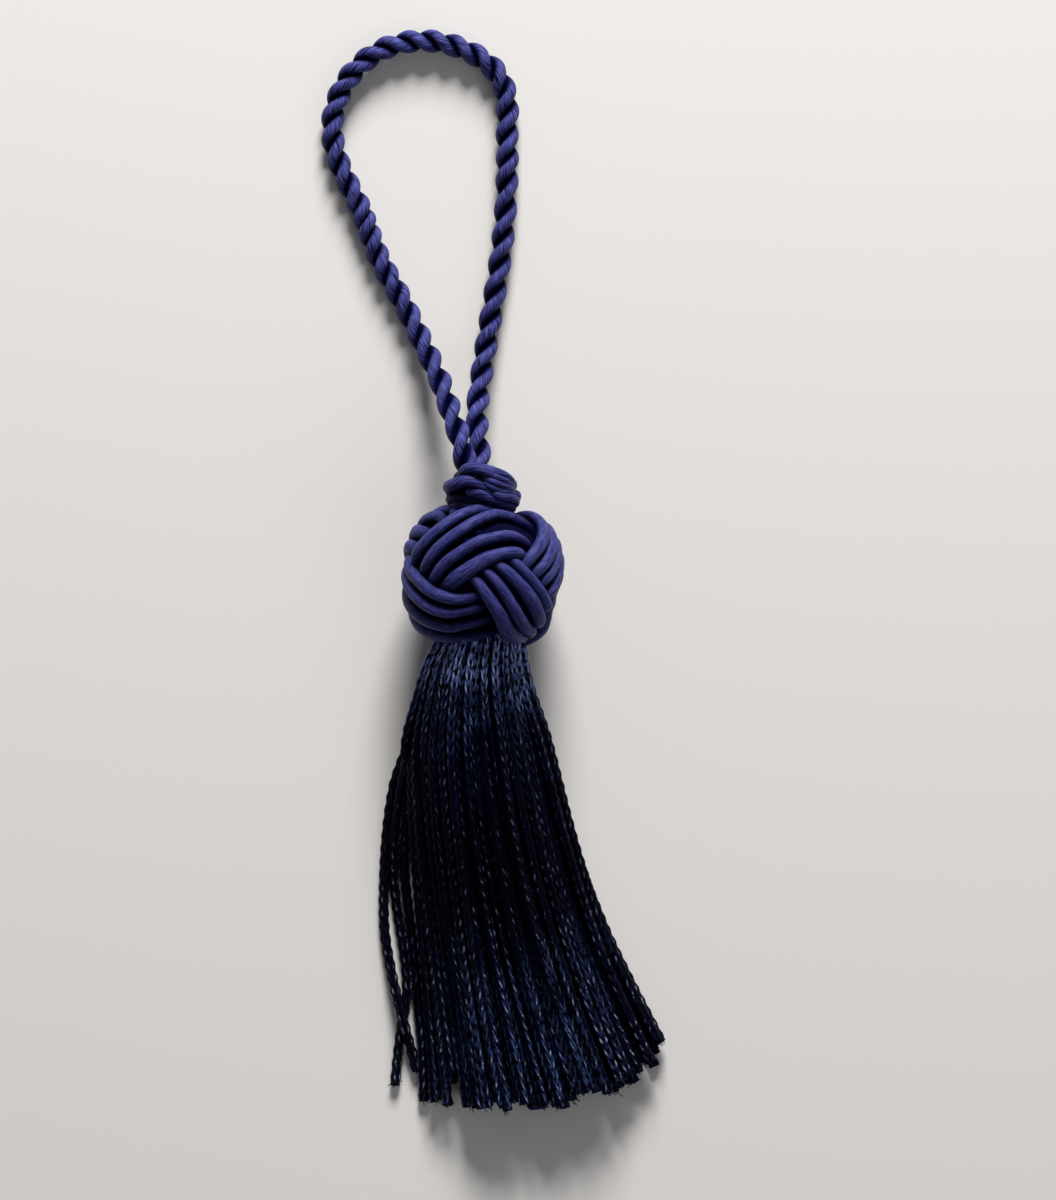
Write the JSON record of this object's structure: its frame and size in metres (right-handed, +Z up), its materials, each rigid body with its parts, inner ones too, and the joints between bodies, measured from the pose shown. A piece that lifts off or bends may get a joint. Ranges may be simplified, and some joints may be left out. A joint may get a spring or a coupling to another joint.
{
  "type": "tassel",
  "caption": "Small chainette tassel with a round woven knot head, a neck knot and a twisted cord hanging loop, lying on its back.",
  "frame": {"origin": "on the surface the tassel lies on, under the middle of the head, at its small flat foot", "axes": "+Z up, away from the surface; +Y along the tassel from the skirt towards the loop; +X to the right"},
  "size_m": [0.0333, 0.1085, 0.0147],
  "materials": {
    "twisted_cord": "satin",
    "satin_cord": "satin",
    "chainette": "satin"
  },
  "bodies": {
    "root": {"hanging_loop": "twisted_cord", "neck_knot": "satin_cord", "turks_head": "satin_cord", "skirt": "chainette"}
  },
  "joints": []
}
